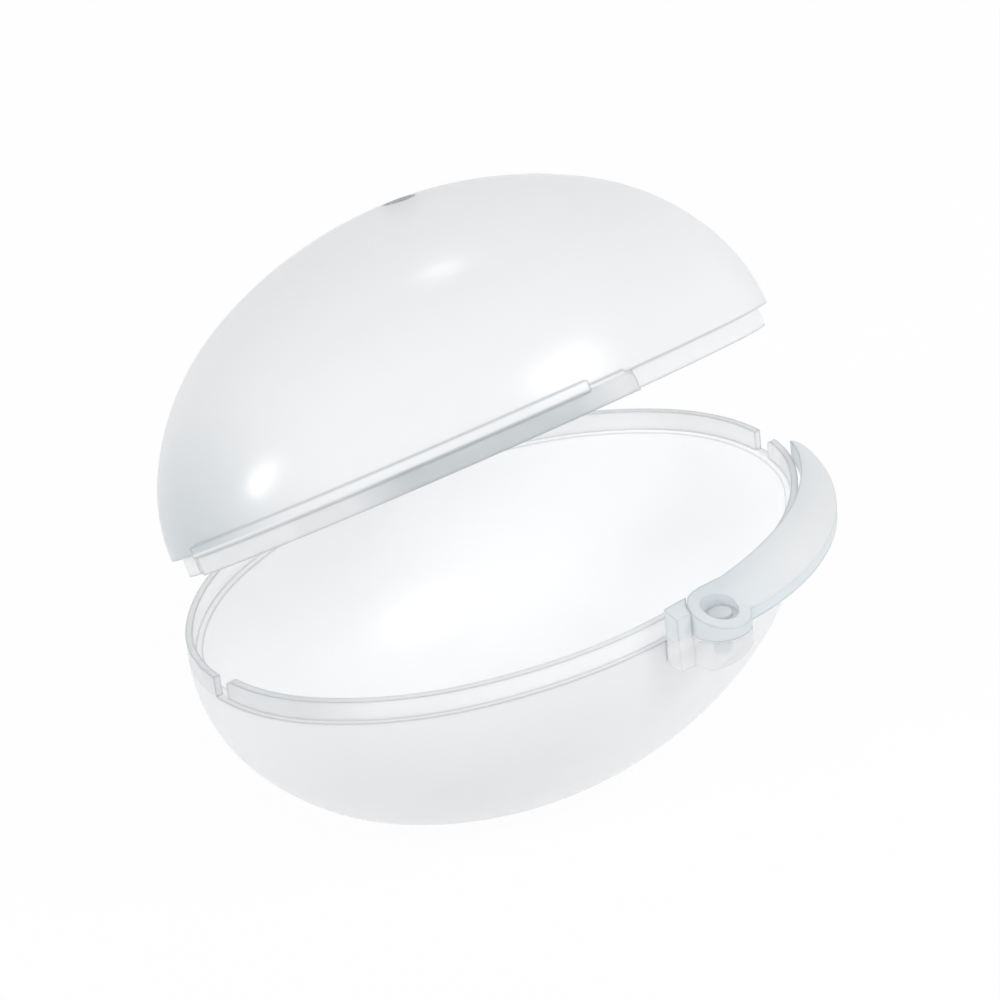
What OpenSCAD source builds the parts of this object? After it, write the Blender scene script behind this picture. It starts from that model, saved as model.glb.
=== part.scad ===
// Egg-shaped case for steaming and carrying a pacifier.
// Origin: centre of the flat foot. +X runs along the case, +Y to the hinge, +Z up.
// Both shells are an oval turned about its long axis, and a straight band joins them.

/* [Shells] */
// Length of the closed shells
case_len = 112; // [100:1:130]
// Width of the closed shells
case_w = 78; // [70:1:90]
// Thickness of both shells
wall_t = 2.4; // [2:0.1:3]
// How much is cut flat under the bowl to make its foot
foot_cut = 2.1; // [1:0.1:4]
// Width of the notch in the base's lip at the left tip
notch_w = 1.8; // [1.2:0.1:4]
// Width of the notch in the base's lip at the right tip
right_notch_w = 3.6; // [2:0.1:6]
// How far the right notch lies in front of the tip
right_notch_at = 3.2; // [2.6:0.1:6]
// Diameter of the steam hole at the top of the lid
vent_d = 5.2; // [3:0.1:8]
// How far the steam hole lies in front of the dome's top
vent_front = 6; // [0:0.5:20]

/* [Rim] */
// Height of the straight band between the base's ledge and the lid's dome
band_h = 3.6; // [3:0.1:6]
// How far the front lip stands in from the outside
lip_inset = 1.0; // [0.6:0.05:1.4]
// Thickness of the outer lip, round the back and the right
back_lip_t = 1.2; // [0.8:0.05:1.4]
// Gap between a lip and what slides past it
slide_gap = 0.2; // [0.15:0.05:0.4]
// Gap that lets the tongue swing out past the outer lip as the lid opens
swing_gap = 0.45; // [0.4:0.05:0.6]
// Gap between the end of a lip and what closes on it
end_gap = 0.3; // [0.2:0.05:0.6]
// How far the lid's skirt stands out from the shells
skirt_proud = 0.5; // [0.3:0.05:0.8]
// How far the shoulder above the skirt stands out from the shells
shoulder_proud = 1.0; // [0.6:0.05:1.4]
// Height of the shoulder
shoulder_h = 1.9; // [1.4:0.1:3]
// How far the shoulder climbs over the foot of the dome
shoulder_rise = 1.4; // [0.8:0.1:2]

/* [Lid hinge] */
// Angle at which the lid stands open
lid_open = 29.5; // [0:0.5:90]
// Height of the hinge axis above the base's ledge
hinge_rise = 10; // [8:0.5:14]
// Distance of the hinge axis behind the shells
hinge_back = 2.2; // [2.2:0.1:4]
// Radius of the hinge knuckles
knuckle_r = 2.4; // [2.2:0.1:3]
// Diameter of the hinge pin
hinge_pin_d = 2; // [1.6:0.1:2.6]
// Width of the base's hinge bracket
bracket_w = 12; // [8:0.5:18]
// Width of each of the lid's hinge ears
ear_w = 4.5; // [3:0.1:6]
// Gap between the bracket and each ear
ear_gap = 0.35; // [0.2:0.05:0.6]

/* [Latch] */
// Radial width of the crescent at its broad end
crescent_w = 6.9; // [6:0.1:8]
// Thickness that the crescent would have at the shells' right tip
tip_t = 1.9; // [1.6:0.1:2.4]
// How far the crescent stops in front of the right tip
tip_cut = 13; // [8:0.5:16]
// Gap between the crescent and the shells
latch_gap = 0.6; // [0.5:0.05:0.9]
// Height of the crescent's underside above the ledge
latch_low = 1.6; // [1.2:0.1:2]
// Height of the crescent's crown above the ledge
latch_top = 5.8; // [5:0.1:7]
// Radius of the crown over the crescent
crown_r = 8.5; // [8:0.5:12]
// Radius of the crescent's round ear
lobe_r = 5; // [4.6:0.1:5.4]
// Height above the ledge of the mound that the crescent rises into at its ear
mound_top = 7.9; // [7.2:0.1:8.6]
// Radius of the mound
mound_r = 60; // [50:1:80]
// Diameter of the latch pin
latch_pin_d = 3; // [2.4:0.1:3.4]
// Diameter of the recess in the ear
recess_d = 5.8; // [5:0.1:6.6]
// Depth of the recess
recess_deep = 1.6; // [1.4:0.1:2]
// Thickness of the pin's head in the recess
latch_head_t = 0.5; // [0.4:0.05:0.8]

/* [Hidden] */

$fn = 144;
run_gap = 0.05;      // radial clearance of both pins in what turns on them
seat_gap = 0.02;     // radial clearance of a pin in what holds it
sunk = 0.5;          // how deep a rim's ring reaches into the shell that carries it
flush_gap = 0.02;    // how far a flush ring stays inside the shell that carries it
far = case_len;      // longer than anything that it cuts

half_l = case_len / 2;
half_w = case_w / 2;
ledge_z = half_w - foot_cut;
dome_z = ledge_z + band_h;

// The oval is drawn with three arcs to a quadrant. Each arc's end is named by
// the direction of the outline's normal there, measured from the width axis.
flank_turn = 24;
corner_turn = 54;
arc_lap = 0.005;     // each arc stands this far proud of the last, so they cross cleanly
mid_turn = (flank_turn + corner_turn) / 2;
corner_r = pow(half_l * half_w, 2) / pow(pow(half_l * sin(mid_turn), 2) + pow(half_w * cos(mid_turn), 2), 1.5);
reach_x = half_l - corner_r * (sin(corner_turn) - sin(flank_turn));
reach_y = half_w - corner_r * (cos(flank_turn) - cos(corner_turn));
arc_det = sin(flank_turn) * cos(corner_turn) - (1 - sin(corner_turn)) * (1 - cos(flank_turn));
flank_r = (reach_x * cos(corner_turn) - reach_y * (1 - sin(corner_turn))) / arc_det;
tip_r = (sin(flank_turn) * reach_y - (1 - cos(flank_turn)) * reach_x) / arc_det;
flank_c = [0, half_w - flank_r];
corner_c = flank_c + (flank_r - corner_r) * [sin(flank_turn), cos(flank_turn)];
tip_c = half_l - tip_r;

// Rim
rim_in = wall_t - 0.05;
front_lip_h = band_h - end_gap;
back_lip_h = band_h - end_gap / 2;
skirt_low = ledge_z + end_gap / 2;
skirt_in = lip_inset - slide_gap;
tongue_in = back_lip_t + swing_gap;
tongue_low = ledge_z + end_gap;
tongue_end = notch_w + 0.6;
skirt_start = notch_w + 0.8;
lip_corner_r = 1.2;
skirt_corner_r = 1.5;

// Latch
pin_offset = 2;
pin_clear = 3.2;
latch_r = half_w + latch_gap + crescent_w;
latch_c = [half_l + latch_gap + tip_t - latch_r, 0];
pin_at = [latch_c.x - pin_offset, -half_w - lobe_r - 0.15];
crown_at = latch_r - 5.8;
tip_round = tip_t / 2 + 0.75;
tip_turn = asin(tip_cut / latch_r);
tip_at = latch_c + (latch_r - tip_round) * [cos(tip_turn), -sin(tip_turn)];
latch_low_z = ledge_z + latch_low;
latch_top_z = ledge_z + latch_top;
mound_at = pin_at + [-6, 16.85];
mound_c = [mound_at.x, mound_at.y, ledge_z + mound_top - mound_r];
pin_away = norm(mound_at - pin_at);
ear_z = mound_c.z + sqrt(pow(mound_r, 2) - pow(pin_away, 2));
recess_z = ear_z - recess_deep;
skirt_end_x = pin_at.x - pin_clear;
shoulder_end_x = skirt_end_x - 8.8;
outer_lip_x = skirt_end_x + end_gap;
front_lip_end_x = outer_lip_x + 0.6;
front_tongue_x = front_lip_end_x + end_gap;

// Lug under the ear, and the heel beside it
lug_gap = 0.3;
lug_top_z = latch_low_z - lug_gap;
lug_depth = 5;
lug_round = 2 * lobe_r + 0.5;
heel_gap = skirt_proud + 0.7;
heel_reach = 3.5;
heel_back = 0.8;
heel_r = lobe_r + lug_gap + heel_reach;
heel_x = pin_at.x - heel_r + 0.8;
lug_bore_z = lug_top_z - lug_depth + 1;
pin_foot_z = lug_bore_z + 0.2;
pin_head_z = recess_z + 0.1;

// Lid hinge
hinge_y = half_w + hinge_back;
hinge_z = ledge_z + hinge_rise;
bracket_gap = 0.35;
bracket_deep = 5;
ear_inner_x = bracket_w / 2 + ear_gap;
ear_outer_x = ear_inner_x + ear_w;
pin_head_t = 0.8;
pin_head_r = hinge_pin_d / 2 + 0.7;
latch_head_d = recess_d - 1.8;

shell_colour = [0.90, 0.93, 0.95, 0.55];
latch_colour = [0.84, 0.88, 0.91, 0.8];
pin_colour = [0.80, 0.84, 0.87];

// ---- outlines ----

// The oval without its tips, grown outwards by d
module oval_trunk(d) {
    flank_end = (flank_r + d) * sin(flank_turn);
    corner_end = corner_c.x + (corner_r + d) * sin(corner_turn);
    intersection() {
        lens(flank_c, flank_r + d);
        strip(-flank_end, flank_end);
    }
    both_ways() intersection() {
        lens(corner_c, corner_r + arc_lap + d);
        strip(1, corner_end);
    }
}

// The oval, grown outwards by d
module oval(d) {
    oval_trunk(d);
    both_ways() translate([tip_c, 0]) circle(tip_r + 2 * arc_lap + d);
}

// A shape, and again after half a turn
module both_ways() {
    children();
    rotate(180) children();
}

// Where two circles overlap, one centred at c and one mirrored across the length axis
module lens(c, r) {
    intersection() {
        translate(c) circle(r);
        translate([c.x, -c.y]) circle(r);
    }
}

module strip(x0, x1) {
    translate([x0, -far / 2]) square([x1 - x0, far]);
}

// The ring between two ovals
module oval_ring(outer, inner) {
    difference() {
        oval(outer);
        oval(inner);
    }
}

// The oval turned about its long axis
module egg(d) {
    rotate([0, 90, 0]) rotate_extrude() intersection() {
        rotate(90) oval_trunk(d);
        translate([0, -far]) square([far, 2 * far]);
    }
    both_ways() translate([tip_c, 0, 0]) sphere(tip_r + 2 * arc_lap + d);
}

// Everything from z0 to z1 over a rectangle in plan
module slab(x0, x1, y0, y1, z0, z1) {
    translate([x0, y0, z0]) cube([x1 - x0, y1 - y0, z1 - z0]);
}

// A profile drawn in Y and Z, extruded from x0 to x1
module across(x0, x1) {
    translate([x0, 0, 0]) rotate([90, 0, 90]) linear_extrude(x1 - x0) children();
}

// ---- base ----

module bowl() {
    difference() {
        intersection() {
            translate([0, 0, ledge_z]) egg(0);
            slab(-far, far, -far, far, 0, ledge_z);
        }
        bowl_cavity();
    }
}

module bowl_cavity() {
    intersection() {
        translate([0, 0, ledge_z]) egg(-wall_t);
        slab(-far, far, -far, far, wall_t, far);
    }
}

// Everything in front of y from x0 to x1, with a rounded corner at height z
module up_to(x0, x1, y, z) {
    across(x0, x1) union() {
        translate([-far, 0]) square([far + y, z - lip_corner_r]);
        translate([-far, 0]) square([far + y - lip_corner_r, far]);
        translate([y - lip_corner_r, z - lip_corner_r]) circle(lip_corner_r);
    }
}

// Lip set in from the outside, round the front left, under the lid's skirt
module front_lip() {
    intersection() {
        translate([0, 0, ledge_z - sunk]) linear_extrude(front_lip_h + sunk) oval_ring(-lip_inset, -rim_in);
        up_to(-far, front_lip_end_x, -notch_w / 2, ledge_z + front_lip_h);
    }
}

// Lip flush with the outside, round the back and behind the latch
module outer_lip() {
    intersection() {
        translate([0, 0, ledge_z - sunk]) linear_extrude(back_lip_h + sunk) oval_ring(-flush_gap, -back_lip_t);
        union() {
            slab(-far, 0, notch_w / 2, far, 0, far);
            slab(-1, far, right_notch_w / 2 - right_notch_at, far, 0, far);
            up_to(outer_lip_x, far, -right_notch_w / 2 - right_notch_at, ledge_z + back_lip_h);
        }
    }
}

// Upright bracket that carries the hinge pin behind the lid
module hinge_bracket() {
    across(-bracket_w / 2, bracket_w / 2) difference() {
        union() {
            translate([hinge_y, hinge_z]) circle(knuckle_r);
            translate([half_w + bracket_gap, ledge_z - 1]) square([hinge_back - bracket_gap + 1.2, hinge_rise + 1]);
            polygon([
                [half_w - back_lip_t / 2, ledge_z + back_lip_h - 0.1],
                [hinge_y + 1.2, ledge_z + back_lip_h - 0.1],
                [hinge_y + 1.2, ledge_z],
                [half_w - 1.0, ledge_z - bracket_deep],
                [half_w - 1.6, ledge_z - bracket_deep],
                [half_w - back_lip_t / 2, ledge_z]
            ]);
        }
        translate([hinge_y, hinge_z]) circle(hinge_pin_d / 2 + run_gap);
    }
}

// Outline of the heel, from its left end to x1
module heel_plan(x1) {
    intersection() {
        translate(pin_at) circle(heel_r);
        translate([heel_x, pin_at.y + heel_back]) square([x1 - heel_x, far]);
    }
}

// Rounded lug that carries the latch's ear and the heel
module latch_lug() {
    intersection() {
        translate([0, 0, lug_top_z - lug_depth]) linear_extrude(lug_depth) union() {
            translate(pin_at) circle(lobe_r);
            heel_plan(pin_at.x + lobe_r - 0.2);
        }
        translate([pin_at.x - 1, pin_at.y + lobe_r, lug_top_z + 1.5]) sphere(lug_round);
        slab(-far, far, -far, wall_t - half_w, 0, far);
    }
}

// Heel that fills the corner between the round ear and the shell, flush with the ear's top
module latch_heel() {
    intersection() {
        translate([0, 0, lug_top_z - 1]) linear_extrude(far) difference() {
            heel_plan(pin_at.x);
            translate(pin_at) circle(lobe_r + lug_gap);
            oval(heel_gap);
        }
        mound();
    }
}

// Lug and heel, cut back where the lid's skirt comes down and inside the bowl
module latch_mount() {
    difference() {
        union() {
            latch_lug();
            latch_heel();
        }
        translate([0, 0, ledge_z - end_gap]) linear_extrude(far) oval(heel_gap);
        bowl_cavity();
    }
}

module base_shell() {
    color(shell_colour) difference() {
        union() {
            bowl();
            front_lip();
            outer_lip();
            hinge_bracket();
            latch_mount();
        }
        translate([pin_at.x, pin_at.y, lug_bore_z]) cylinder(h = far, d = latch_pin_d + 2 * seat_gap);
    }
}

// ---- lid, drawn closed and then opened about its hinge ----

module dome() {
    difference() {
        intersection() {
            translate([0, 0, dome_z]) egg(0);
            slab(-far, far, -far, far, dome_z, far);
        }
        translate([0, 0, dome_z]) egg(-wall_t);
        translate([0, -vent_front, dome_z]) cylinder(h = far, d = vent_d);
    }
}

// Tongue that slides inside the base's outer lip
module tongue() {
    intersection() {
        translate([0, 0, tongue_low]) linear_extrude(dome_z - tongue_low + sunk) oval_ring(-tongue_in, -rim_in);
        union() {
            slab(-far, far, tongue_end, far, 0, far);
            slab(front_tongue_x, far, -far, far, 0, far);
        }
    }
}

// Skirt that slides over the base's front lip, from the left tip to the latch
module skirt() {
    intersection() {
        translate([0, 0, skirt_low]) linear_extrude(dome_z - skirt_low + sunk) oval_ring(skirt_proud, -skirt_in);
        translate([0, far, 0]) rotate([90, 0, 0]) linear_extrude(2 * far) union() {
            translate([-far, 0]) square([far + skirt_end_x, dome_z - skirt_corner_r]);
            translate([-far, 0]) square([far + skirt_end_x - skirt_corner_r, far]);
            translate([skirt_end_x - skirt_corner_r, dome_z - skirt_corner_r]) circle(skirt_corner_r);
        }
        slab(-far, far, -far, -skirt_start, 0, far);
    }
}

// Shoulder round the foot of the dome, above the skirt
module shoulder() {
    translate([0, 0, dome_z + shoulder_rise - shoulder_h]) intersection() {
        linear_extrude(shoulder_h) oval_ring(shoulder_proud, -skirt_in / 2);
        slab(-far, shoulder_end_x, -far, -skirt_start, 0, far);
    }
}

// One hinge ear, from x0 to x1
module hinge_ear(x0, x1) {
    across(x0, x1) difference() {
        union() {
            translate([hinge_y, hinge_z]) circle(knuckle_r);
            translate([half_w - 2, hinge_z - knuckle_r]) square([hinge_back + 2, 2 * knuckle_r]);
        }
        translate([hinge_y, hinge_z]) circle(hinge_pin_d / 2 + seat_gap);
    }
}

module opened() {
    translate([0, hinge_y, hinge_z]) rotate([-lid_open, 0, 0]) translate([0, -hinge_y, -hinge_z]) children();
}

module lid_shell() {
    color(shell_colour) opened() union() {
        dome();
        tongue();
        skirt();
        shoulder();
        hinge_ear(ear_inner_x, ear_outer_x);
        hinge_ear(-ear_outer_x, -ear_inner_x);
    }
}

// ---- hinge pin ----

module hinge_pin() {
    color(pin_colour) translate([-ear_outer_x - pin_head_t, hinge_y, hinge_z]) rotate([0, 90, 0]) union() {
        cylinder(h = pin_head_t, r = pin_head_r);
        cylinder(h = 2 * (ear_outer_x + pin_head_t), d = hinge_pin_d);
        translate([0, 0, 2 * ear_outer_x + pin_head_t]) cylinder(h = pin_head_t, r = pin_head_r);
    }
}

// ---- latch ----

// Round ear, crescent and round tip
module latch_plan() {
    difference() {
        union() {
            translate(pin_at) circle(lobe_r);
            translate(tip_at) circle(tip_round + arc_lap);
            intersection() {
                translate(latch_c) circle(latch_r);
                translate([pin_at.x, -far]) square([far, far - latch_r * sin(tip_turn)]);
            }
        }
        oval(latch_gap);
    }
}

// Solid whose top is the crescent's crown
module latch_crown() {
    translate([latch_c.x, latch_c.y, 0]) rotate_extrude() intersection() {
        translate([0, latch_low_z]) square([latch_r + 1, far]);
        union() {
            translate([crown_at, latch_top_z - crown_r]) circle(crown_r);
            square([crown_at, latch_top_z]);
        }
    }
}

// Low mound whose top the ear and the heel share
module mound() {
    translate(mound_c) sphere(mound_r);
}

module latch() {
    color(latch_colour) difference() {
        intersection() {
            translate([0, 0, latch_low_z]) linear_extrude(far) latch_plan();
            union() {
                latch_crown();
                mound();
            }
        }
        translate([pin_at.x, pin_at.y, 0]) cylinder(h = far, d = latch_pin_d + 2 * run_gap);
        translate([pin_at.x, pin_at.y, recess_z]) cylinder(h = far, d = recess_d);
    }
}

// Pin with a thin head in the ear's recess
module latch_pin() {
    color(pin_colour) translate([pin_at.x, pin_at.y, 0]) union() {
        translate([0, 0, pin_foot_z]) cylinder(h = pin_head_z + latch_head_t - pin_foot_z, d = latch_pin_d);
        translate([0, 0, pin_head_z]) cylinder(h = latch_head_t, d = latch_head_d);
    }
}

base_shell();
lid_shell();
hinge_pin();
latch();
latch_pin();
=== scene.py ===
# %% [markdown]
# # An egg-shaped case for steaming a pacifier
# The real object is a small case of milky, see-through polypropylene: a round-bottomed bowl, a
# domed lid that stands open on its hinge, and a crescent that swings along the rim to keep the lid
# shut. Everything here is in metres and in the frame of the working model, which already has every
# shape that shows. So no piece is modelled again, and this lesson is about finishes, light and the
# camera.

# %% Load the working model
import math

import bpy
from mathutils import Matrix, Vector


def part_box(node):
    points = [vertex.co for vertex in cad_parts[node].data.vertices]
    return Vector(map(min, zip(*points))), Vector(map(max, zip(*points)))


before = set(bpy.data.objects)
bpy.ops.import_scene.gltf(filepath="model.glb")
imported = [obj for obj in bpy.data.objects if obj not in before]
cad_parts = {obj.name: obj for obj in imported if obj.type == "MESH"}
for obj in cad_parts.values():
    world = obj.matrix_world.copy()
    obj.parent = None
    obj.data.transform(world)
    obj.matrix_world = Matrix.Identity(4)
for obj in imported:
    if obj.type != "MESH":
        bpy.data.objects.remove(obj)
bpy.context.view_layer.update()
MM = 0.001
for name in sorted(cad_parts):
    low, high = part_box(name)
    print(name, [round(v / MM, 1) for v in high - low], "mm")

# %% [markdown]
# ## Wires
# A finish in Blender is a small network of nodes. It could be drawn by hand in the shader editor,
# but a drawn network can't be read line by line. Here a Wire stands for the output of a node, and
# adding or multiplying Wires puts the Math nodes in, so a mask reads like the sum that it is.

# %% Wires
class Wire:
    """The output of a node, which can be used in a sum."""

    def __init__(self, network, socket):
        self.network = network
        self.socket = socket

    def __add__(self, other):
        return self.network.maths("ADD", self, other)

    def __radd__(self, other):
        return self.network.maths("ADD", other, self)

    def __sub__(self, other):
        return self.network.maths("SUBTRACT", self, other)

    def __rsub__(self, other):
        return self.network.maths("SUBTRACT", other, self)

    def __mul__(self, other):
        return self.network.maths("MULTIPLY", self, other)

    def __rmul__(self, other):
        return self.network.maths("MULTIPLY", other, self)

    def __abs__(self):
        return self.network.maths("ABSOLUTE", self, 0)


# %% [markdown]
# ## Networks
# A Network owns the nodes of one material, or of the room that lights the case. All its nodes come
# from one method, node, which sets them and fills their sockets. The other methods are short names
# for what a plastic needs often: a ramp for a soft mask, a noise for unevenness, and paint to lay
# one colour over another.

# %% Networks
COLOUR_A, COLOUR_B, COLOUR_RESULT = 6, 7, 2  # the Mix node's sockets for colours


class Network:
    """The nodes of one material or of the room."""

    def __init__(self, owner):
        owner.use_nodes = True
        self.owner = owner
        self.tree = owner.node_tree
        self.tree.nodes.clear()

    def node(self, kind, settings=None, inputs=None, output=0):
        """Adds a node, sets it, fills its sockets and returns one of its outputs as a Wire."""
        made = self.tree.nodes.new(kind)
        for key, value in (settings or {}).items():
            setattr(made, key, value)
        for key, value in (inputs or {}).items():
            if isinstance(value, Wire):
                self.tree.links.new(value.socket, made.inputs[key])
            else:
                made.inputs[key].default_value = value
        return Wire(self, made.outputs[output]) if made.outputs else None

    def maths(self, operation, a, b):
        return self.node("ShaderNodeMath", {"operation": operation}, {0: a, 1: b})

    def vector(self, operation, a, b, output="Vector"):
        settings = {"operation": operation}
        return self.node("ShaderNodeVectorMath", settings, {0: a, 1: b}, output)

    def length(self, a):
        return self.vector("LENGTH", a, (0, 0, 0), "Value")

    def plan_distance(self, place, middle):
        """How far a place is from a middle, seen from above."""
        away = self.vector("SUBTRACT", place, middle)
        return self.length(self.vector("MULTIPLY", away, (1, 1, 0)))

    def clamp(self, value):
        """Keeps a value between 0 and 1."""
        return self.node("ShaderNodeClamp", {}, {"Value": value})

    def ramp(self, value, start, full):
        """A soft mask: 0 up to start, 1 from full on, and straight between them."""
        return self.clamp((value - start) * (1 / (full - start)))

    def noise(self, place, scale, detail=2.0, distortion=0.0):
        inputs = {"Vector": place, "Scale": scale, "Detail": detail, "Distortion": distortion}
        return self.node("ShaderNodeTexNoise", {}, inputs)

    def mix(self, amount, a, b):
        """A colour between a and b."""
        colours = {0: amount, COLOUR_A: a, COLOUR_B: b}
        return self.node("ShaderNodeMix", {"data_type": "RGBA"}, colours, COLOUR_RESULT)

    def paint(self, colour, layers):
        """Lays layers over a colour. Each is a mask, how far it covers, and its own colour."""
        for mask, cover, over in layers:
            colour = self.mix(mask * cover, colour, over)
        return colour

    def end(self, shader, kind="ShaderNodeOutputMaterial"):
        """Ends the network and returns its owner."""
        self.node(kind, {}, {"Surface": shader})
        print(self.owner.name, "with", len(self.tree.nodes), "nodes")
        return self.owner


# %% [markdown]
# ## Tints
# The plastic has no colour of its own, only a grey that turns cooler as the light crosses more of
# it. So every colour here is a grey level times one of four tints, and many of the greys are
# painted light and painted shade. Four tints keep the pieces alike, which free colours for each
# piece wouldn't.

# %% Tints
def shade(level, tint=(1, 1, 1)):
    """A colour from a grey level and a tint."""
    return (level * tint[0], level * tint[1], level * tint[2], 1)


# The next tint is painted light: the lighter inside of a shell, the foot of the heel and the glow.
LIT_MILK = (0.995, 0.997, 1.0)  # the bright inside of a shell
COOL = (0.988, 0.992, 1.0)  # a wall of the shells
SMOKE = (0.90, 0.97, 1.0)  # thicker plastic, such as the crescent's
# The next tint is painted shade: at the lid's tips and skirt, the lips' tops and every edge.
SHADE_TEAL = (0.80, 0.95, 1.0)  # plastic seen along its wall, at a lip or an edge
print("the edges' tint is", SHADE_TEAL)

# %% [markdown]
# ## Places on the shells
# The finish has to know the inside of a shell from its outside and from its thin lips. A material
# for each would need the faces picked by hand. The shape gives it without: both shells are an oval
# turned about its long axis, and a place divided by the oval's half length and half width has a
# length, its reach, that is 1 on the outer face and about 0.95 on the inner one. The lid is drawn
# open, so its places are first turned back about the hinge. A place's height over the rim then
# tells the lips from the shell itself. Each pair of values says where a soft mask starts and where
# it is full.

# %% Places
HALF_LENGTH = 56 * MM
HALF_WIDTH = 39 * MM
LEDGE = 36.9 * MM  # the base's lips stand up from here
DOME_FOOT = 40.5 * MM  # the lid's lips hang down from here
HINGE = (0, 41.2 * MM, 46.9 * MM)
LID_OPEN = math.radians(29.5)
INNER_REACH = (0.986, 0.96933)
SHELL_REACH = (1.03, 1.02)
RIM_SOFT = 0.25 * MM


class ShellPlaces:
    """Wires that tell where a point of a shell lies."""

    def __init__(self, net, place, rim, side):
        """Side is 1 where the lips stand up from the rim and -1 where they hang down."""
        self.place = place
        from_rim = net.vector("SUBTRACT", place, (0, 0, rim))
        self.x, self.y, self.z = (
            net.node("ShaderNodeSeparateXYZ", {}, {0: from_rim}, axis) for axis in "XYZ"
        )
        reach = net.length(net.vector("DIVIDE", from_rim, (HALF_LENGTH, HALF_WIDTH, HALF_WIDTH)))
        self.inner = net.ramp(reach, *INNER_REACH)
        self.outer = 1 - self.inner
        self.lip = net.ramp(self.z, 0, side * RIM_SOFT) * net.ramp(reach, *SHELL_REACH)


def own_place(net):
    """A point's place in the working model's frame, the same at every pose of its piece."""
    return net.node("ShaderNodeTexCoord", output="Object")


def base_places(net):
    return ShellPlaces(net, own_place(net), LEDGE, 1)


def lid_places(net):
    turn = {"Vector": own_place(net), "Center": HINGE, "Angle": LID_OPEN}
    shut = net.node("ShaderNodeVectorRotate", {"rotation_type": "X_AXIS"}, turn)
    return ShellPlaces(net, shut, DOME_FOOT, -1)


print("the oval is", round(2 * HALF_LENGTH / MM), "by", round(2 * HALF_WIDTH / MM), "mm")

# %% [markdown]
# ## Soft edges
# A moulded edge is never sharp. Rounding every edge of the mesh would cost many faces, so the Bevel
# node rounds only the shading, over the last half millimetre or so. Where its direction leaves the
# plain one there is an edge, where the light has to cross more plastic; there the finishes lay a
# fine grey line of painted shade along every lip.

# %% Soft edges
SHELL_EDGE = 0.65 * MM
LATCH_EDGE = 0.6 * MM
EDGE_TURN = (1.0, 0.8)  # how far the rounded direction still agrees with the plain one


def soft_edge(net, radius):
    """The rounded direction of the surface, and a mask of its edges."""
    rounded = net.node("ShaderNodeBevel", {"samples": 4}, {"Radius": radius})
    plain = net.node("ShaderNodeNewGeometry", output="Normal")
    edge = net.ramp(net.vector("DOT_PRODUCT", rounded, plain, "Value"), *EDGE_TURN)
    return rounded, edge


def facing_up(net):
    """1 on a face that looks straight up, 0 on an upright one."""
    plain = net.node("ShaderNodeNewGeometry", output="Normal")
    return net.node("ShaderNodeSeparateXYZ", {}, {0: plain}, "Z")


print("edges are softened over", round(SHELL_EDGE / MM, 2), "mm")

# %% [markdown]
# ## Milky plastic
# Polypropylene is a cloudy plastic. Some light goes straight through a thin wall, some is scattered
# through it, and the rest comes back. Real scattering in the wall would be slow and grainy, so each
# has its own plain stand-in: the light that comes back is a pale Base Color, the scattered light a
# Translucent shader mixed in, and the light that goes straight through an Alpha below 1. A very
# fine orange peel keeps the gloss from looking like glass.

# %% Milky plastic
REFRACTION = 1.49
PEEL_SCALE = 900.0  # dimples to the metre
PEEL_DEPTH = 0.4 * MM


def milky(net, place, rounded, skin, peel, scattering, through):
    """Ends a finish: a skin with an orange peel, and a share of scattered light."""
    dimples = {"Height": net.noise(place, PEEL_SCALE), "Strength": peel, "Distance": PEEL_DEPTH}
    bump = net.node("ShaderNodeBump", {}, {**dimples, "Normal": rounded})
    back = net.node("ShaderNodeBsdfPrincipled", {}, {**skin, "IOR": REFRACTION, "Normal": bump})
    scattered = net.node("ShaderNodeBsdfTranslucent", {}, {"Color": shade(through, COOL)})
    return net.end(net.node("ShaderNodeMixShader", {}, {0: scattering, 1: back, 2: scattered}))


print("the plastic bends light by", REFRACTION)

# %% [markdown]
# ## Painted light and shade on the lid
# The lid's greys are painted light and painted shade, laid by place. Both tips get painted shade,
# where the wall turns away; the foot of the dome gets painted light, where the white bowl shines
# through it; and the crest gets a little painted shade. The skirt at the front is seen along its
# wall and gets the darkest painted shade, most of all left of its middle. The wall of the steam
# hole is painted near black, a painted shadow for the hole's dark inside. These masks could follow
# the angle to the camera, but then they would slide as the view turns, so they follow places on the
# lid.

# %% Painted light and shade on the lid
LID_TIP = (40 * MM, 56.13 * MM)
LID_FOOT = (22 * MM, 2 * MM)
LID_CREST = (18 * MM, 38 * MM)
SKIRT_FRONT = (-20 * MM, -21 * MM)
SKIRT_MIDDLE = -19 * MM
SKIRT_SHADE = (22 * MM, 14 * MM)
VENT = (0, -6 * MM, 0)
VENT_WALL = (2.7 * MM, 2.65 * MM)


def lid_greys(net, at):
    """The lid's painted light and shade. No part is clearer or has plainer edges than the rest."""
    dome = net.ramp(at.z, 0, RIM_SOFT) * at.outer
    tip = net.ramp(abs(at.x), *LID_TIP) * dome
    foot_light = net.ramp(at.z, *LID_FOOT) * dome
    crest_shade = net.ramp(at.z, *LID_CREST) * dome
    skirt = net.ramp(at.y, *SKIRT_FRONT) * net.ramp(at.z, 0, -RIM_SOFT) * at.outer
    skirt_shade = net.ramp(abs(at.x - SKIRT_MIDDLE), *SKIRT_SHADE)
    vent_wall_shadow = net.ramp(net.plan_distance(at.place, VENT), *VENT_WALL)
    # painted shade at the tips, crest and skirt, painted light at the foot, a painted shadow in the
    # hole
    layers = [
        (tip * tip, 0.8, shade(0.48, SHADE_TEAL)),
        (foot_light * (1 - tip), 0.8, shade(0.98, COOL)),
        (crest_shade, 0.2, shade(0.60, SMOKE)),
        (skirt * (0.2 + skirt_shade), 0.75, shade(0.38, SHADE_TEAL)),
        (vent_wall_shadow, 1.0, shade(0.04)),
    ]
    return layers, 0, 0
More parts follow.
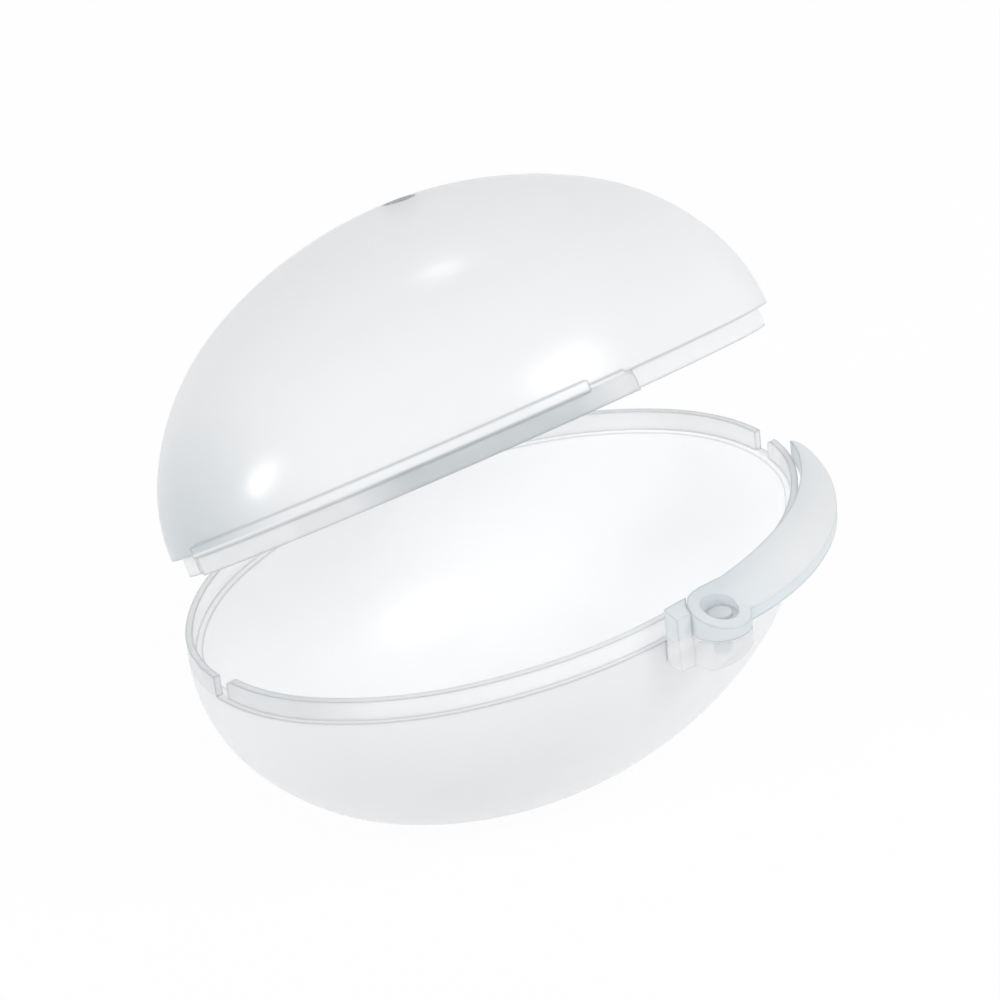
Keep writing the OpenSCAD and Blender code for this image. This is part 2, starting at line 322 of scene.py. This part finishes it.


# %% [markdown]
# ## Painted light and shade on the base, and the heel's grey
# The outside of the bowl gets painted light below, where the white table shines into it. The lips
# get painted shade along their tops, and at the left tip, where they are seen along the wall. The
# lug and the heel that carry the latch are as grey as the latch above the rim, and below it they
# are clearer and get painted light, so that they melt into the bowl. Their painted edge shade is
# fainter for the same reason.

# %% Painted light and shade on the base
SOLE = (-16 * MM, -36 * MM)
MOUNT_FRONT = (-39.8 * MM, -40.8 * MM)
MOUNT_TOP = (1.6 * MM, 1.9333 * MM)
LIP_LEVEL = (0.9, 0.95)
LEFT_END = (-42 * MM, -50.333 * MM)
MOUNT_CLEARER = 0.5
MOUNT_PLAINER = 0.8


def base_greys(net, at):
    """The base's layers, how much clearer its lug and heel are and how much fainter their edges."""
    sole_light = net.ramp(at.z, *SOLE) * at.outer
    mount = net.ramp(at.y, *MOUNT_FRONT)
    upper = net.ramp(at.z, *MOUNT_TOP)
    under = mount * (1 - upper)
    lip_top_shade = at.lip * net.ramp(facing_up(net), *LIP_LEVEL)
    left_lip_shade = at.lip * net.ramp(at.x, *LEFT_END)
    # painted light on the sole and under the heel, painted shade on the lips; the heel's top is the
    # latch's grey
    layers = [
        (sole_light, 0.9, shade(0.97, COOL)),
        (mount * upper, 0.7, shade(0.88, SMOKE)),
        (under, 0.8, shade(0.99, LIT_MILK)),
        (lip_top_shade, 0.6, shade(0.40, SHADE_TEAL)),
        (left_lip_shade, 0.5, shade(0.40, SMOKE)),
    ]
    return layers, MOUNT_CLEARER * under, MOUNT_PLAINER * mount


# %% [markdown]
# ## The finish of the shells
# Over the greys come what the moulding left: faint clouds in the plastic, and flow marks, drawn out
# along the case, that change the gloss a little. The gloss is kept even, because a satin with dull
# patches looks dirty. The inside glows faintly, more towards the right, which stands in for the
# light that the bowl throws to and fro. A sheen lightens the outlines, where the wall is seen along
# its face.

# %% The finish of the shells
SHELL_CLOUDS = 38.0  # clouds to the metre
FLOW_MARKS = 90.0
FLOW_STRETCH = (0.25, 1.0, 1.0)
FLOW_DULLS = 0.06
GLOW_MIDDLE = 0.50
GLOW_GROWS = 7  # for each metre to the right


def shell_plastic(name, places, greys, outside, lit_inside, roughness, lip_clear, wall_clear, glow):
    """A shell's finish, from its places, its greys, its gloss, how clear it is and its glow."""
    net = Network(bpy.data.materials.new(name))
    at = places(net)
    rounded, edge = soft_edge(net, SHELL_EDGE)
    cloud = net.noise(at.place, SHELL_CLOUDS, detail=3.0)
    flow = net.noise(net.vector("MULTIPLY", at.place, FLOW_STRETCH), FLOW_MARKS, distortion=0.6)
    layers, clearer, plainer = greys(net, at)
    layers.append((cloud, 0.06, shade(outside * 0.8, COOL)))
    # painted shade: a fine grey line along every edge
    layers.append((edge * (1 - plainer), 0.95, shade(0.28, SHADE_TEAL)))
    clear = lip_clear * at.lip * (1 - edge) + wall_clear * (1 - at.lip) + clearer
    lit = at.inner * net.clamp(GLOW_MIDDLE + at.x * GLOW_GROWS)
    # painted light: the inside is a lighter grey than the outside of the same plastic
    plain = net.mix(at.inner, shade(outside, COOL), shade(lit_inside, LIT_MILK))
    skin = {
        "Base Color": net.paint(plain, layers),
        "Roughness": roughness + FLOW_DULLS * (flow - 0.5),
        "Alpha": 1 - clear,
        "Specular IOR Level": 0.75,
        "Sheen Weight": 1.0,
        "Sheen Roughness": 0.12,
        "Emission Color": net.mix(lit, shade(0.0), shade(1.0, LIT_MILK)),
        "Emission Strength": glow,
    }
    return milky(net, at.place, rounded, skin, peel=0.02, scattering=0.4, through=0.97)


lid_plastic = shell_plastic(
    "lid_plastic", lid_places, lid_greys, outside=0.865, lit_inside=0.97,
    roughness=0.23, lip_clear=0.45, wall_clear=0.12, glow=0.08,
)
base_plastic = shell_plastic(
    "base_plastic", base_places, base_greys, outside=0.84, lit_inside=0.98,
    roughness=0.22, lip_clear=0.5, wall_clear=0.08, glow=0.32,
)

# %% [markdown]
# ## The latch and the pins
# The crescent is thicker than the shells, so it is greyer and less clear. Its upright walls, the
# edge that lies against the rim and the part round the pin get painted shade, a darker side grey
# than the top. The two pins are small and solid, of the same kind of plastic and not clear at all,
# so one function makes both finishes.

# %% The latch and the pins
LATCH_CLOUDS = 60.0
UPRIGHT = (0.75, 0.125)
RIM_SIDE = (1.10, 1.01667)  # reach seen from above
LATCH_PIN = (10 * MM, -44.15 * MM, 38.5 * MM)
ROUND_PIN = (17 * MM, 7 * MM)


def solid_plastic(name, top, side, clear):
    """A solid piece's finish, from the grey of its top, the painted shade of its sides and how
    clear it is.
    """
    net = Network(bpy.data.materials.new(name))
    place = own_place(net)
    rounded, edge = soft_edge(net, LATCH_EDGE)
    oval = net.vector("DIVIDE", place, (HALF_LENGTH, HALF_WIDTH, 1))
    upright = net.ramp(abs(facing_up(net)), *UPRIGHT)
    rim_side = net.ramp(net.plan_distance(oval, (0, 0, 0)), *RIM_SIDE)
    round_pin = net.ramp(net.plan_distance(place, LATCH_PIN), *ROUND_PIN)
    # painted shade on upright walls, along the rim and round the pin
    painted_shade = net.clamp(net.clamp(upright + rim_side * 0.5) + round_pin * 0.5)
    cloud = net.noise(place, LATCH_CLOUDS, detail=3.0)
    layers = [
        (cloud, 0.12, shade(top * 0.8, SMOKE)),
        # painted shade along the edges
        (edge, 0.4, shade(side * 0.7, SMOKE)),
    ]
    plain = net.mix(painted_shade, shade(top, COOL), shade(side, SMOKE))
    skin = {
        "Base Color": net.paint(plain, layers),
        "Roughness": 0.2 + 0.05 * cloud,
        "Alpha": 1 - clear * (1 - edge),
    }
    return milky(net, place, rounded, skin, peel=0.03, scattering=0.3, through=0.9)


latch_plastic = solid_plastic("latch_plastic", top=0.92, side=0.90, clear=0.08)
pin_plastic = solid_plastic("pin_plastic", top=0.95, side=0.85, clear=0.0)

# %% [markdown]
# ## Dressing the pieces
# Every piece keeps the shape that the working model gives it, so a finish is put on by filling its
# only material slot. A copy of the mesh could be dressed in its place, but then the two could drift
# apart.

# %% Dress the pieces
finishes = {
    "base_shell": base_plastic,
    "lid_shell": lid_plastic,
    "hinge_pin": pin_plastic,
    "latch": latch_plastic,
    "latch_pin": pin_plastic,
}
for name, finish in finishes.items():
    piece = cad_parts[name]
    piece.data.materials.clear()
    piece.data.materials.append(finish)
    print("dressed", name)

# %% [markdown]
# ## The table
# The photograph shows the case on plain white. More light would whiten the table, but the case with
# it. So the table's paper is plain white and, for the camera and for rays that a gloss or a clear
# wall sends on, mostly glows as white as the background. The rest of it still takes the soft shadow
# of the case.

# %% White table
PAPER_WHITE = 0.92
TABLE_GLOWS = 0.95
TABLE_SIZE = 6.0


def seen_directly(net):
    """1 for a ray from the camera, or one that a gloss or a clear wall sends on."""
    rays = ("Is Camera Ray", "Is Glossy Ray", "Is Transmission Ray")
    camera, glossy, clear = (net.node("ShaderNodeLightPath", output=ray) for ray in rays)
    return net.clamp(camera + glossy + clear)


net = Network(bpy.data.materials.new("white_floor"))
white = net.node("ShaderNodeEmission", {}, {"Color": shade(1.0), "Strength": 1.0})
paper = net.node("ShaderNodeBsdfDiffuse", {}, {"Color": shade(PAPER_WHITE)})
share = seen_directly(net) * TABLE_GLOWS
floor_finish = net.end(net.node("ShaderNodeMixShader", {}, {0: share, 1: paper, 2: white}))

bpy.ops.mesh.primitive_plane_add(size=TABLE_SIZE)
floor = bpy.context.object
floor.name = "floor"
floor.data.materials.append(floor_finish)

# %% [markdown]
# ## The room
# A white room lights the case softly from all round. It is brighter in front of the case than
# behind it, so the shells turn softly grey towards their outlines, as in the photograph. The room
# looks plain white to the camera, which changes nothing about the light that it gives.

# %% White room
ROOM_LIGHT = (0.988, 0.994, 1.0, 1)
ROOM_LEVEL = 0.62
FRONT_LEVEL = 0.42
towards_front = Vector((-0.5, -0.8, 0.25)).normalized()

world = bpy.data.worlds.new("white_room")
bpy.context.scene.world = world
net = Network(world)
direction = net.node("ShaderNodeTexCoord", output="Generated")
facing = net.clamp(net.vector("DOT_PRODUCT", direction, tuple(towards_front), "Value"))
level = ROOM_LEVEL + FRONT_LEVEL * facing
lit = net.node("ShaderNodeBackground", {}, {"Color": ROOM_LIGHT, "Strength": level})
white = net.node("ShaderNodeBackground", {}, {"Color": shade(1.0), "Strength": 1.0})
room = net.node("ShaderNodeMixShader", {}, {0: seen_directly(net), 1: lit, 2: white})
net.end(room, "ShaderNodeOutputWorld")

# %% [markdown]
# ## Lamps
# The highlights in the photograph say where the lamps stood: a mirror direction worked back from
# each bright spot on the lid and in the bowl gives one lamp at the left, one at the front right and
# a narrow one high behind the case. Area lamps give highlights with the soft, four-sided shape of a
# studio's light boxes.

# %% Lamps
case_middle = Vector((0, 0, 45 * MM))


def lamp(name, azimuth, elevation, size, watts, distance=1.0):
    """A soft lamp that looks at the case, from azimuth 0 in front of it or 90 at its right tip."""
    turn = math.radians(azimuth)
    rise = math.radians(elevation)
    flat = math.cos(rise)
    away = Vector((math.sin(turn) * flat, -math.cos(turn) * flat, math.sin(rise)))
    light = bpy.data.lights.new(name, "AREA")
    light.shape = "RECTANGLE"
    light.size, light.size_y = size
    light.energy = watts
    holder = bpy.data.objects.new(name, light)
    holder.location = case_middle + away * distance
    holder.rotation_mode = "QUATERNION"
    holder.rotation_quaternion = away.to_track_quat("Z", "Y")
    bpy.context.scene.collection.objects.link(holder)
    print("lamp", name, "at", [round(v, 2) for v in holder.location])


lamp("left_lamp", -92, 25, (0.18, 0.24), 1.9)
lamp("front_lamp", 31, 35, (0.30, 0.22), 2.2)
lamp("back_strip", 135, 66, (0.12, 0.012), 0.35)

# %% [markdown]
# ## The camera
# The camera's place, aim and lens come from fitting the case's outlines to the photograph: it
# stands at the front left, looks down by 28 degrees and leans a little to the left. A helper that
# aims a camera at the object would lose that lean, so the three directions are written out and
# turned into a matrix.

# %% Camera
camera_place = Vector((-337.2, -482.5, 361.2)) * MM
looks_towards = Vector((0.5078, 0.7230, -0.4684)).normalized()
camera_up = Vector((0.3617, 0.3145, 0.8777))
lens_mm = 147.87
sensor_mm = 36.0

camera_right = looks_towards.cross(camera_up).normalized()
camera_up = camera_right.cross(looks_towards)
turned = Matrix((camera_right, camera_up, -looks_towards)).transposed()
camera = bpy.data.objects.new("camera", bpy.data.cameras.new("camera"))
bpy.context.scene.collection.objects.link(camera)
camera.matrix_world = Matrix.Translation(camera_place) @ turned.to_4x4()
camera.data.lens = lens_mm
camera.data.sensor_width = sensor_mm
camera.data.clip_start = 0.02
camera.data.clip_end = 20.0
bpy.context.scene.camera = camera
bpy.context.scene.view_settings.view_transform = "Standard"
print("the camera looks down by", round(math.degrees(math.asin(-looks_towards.z)), 1), "degrees")
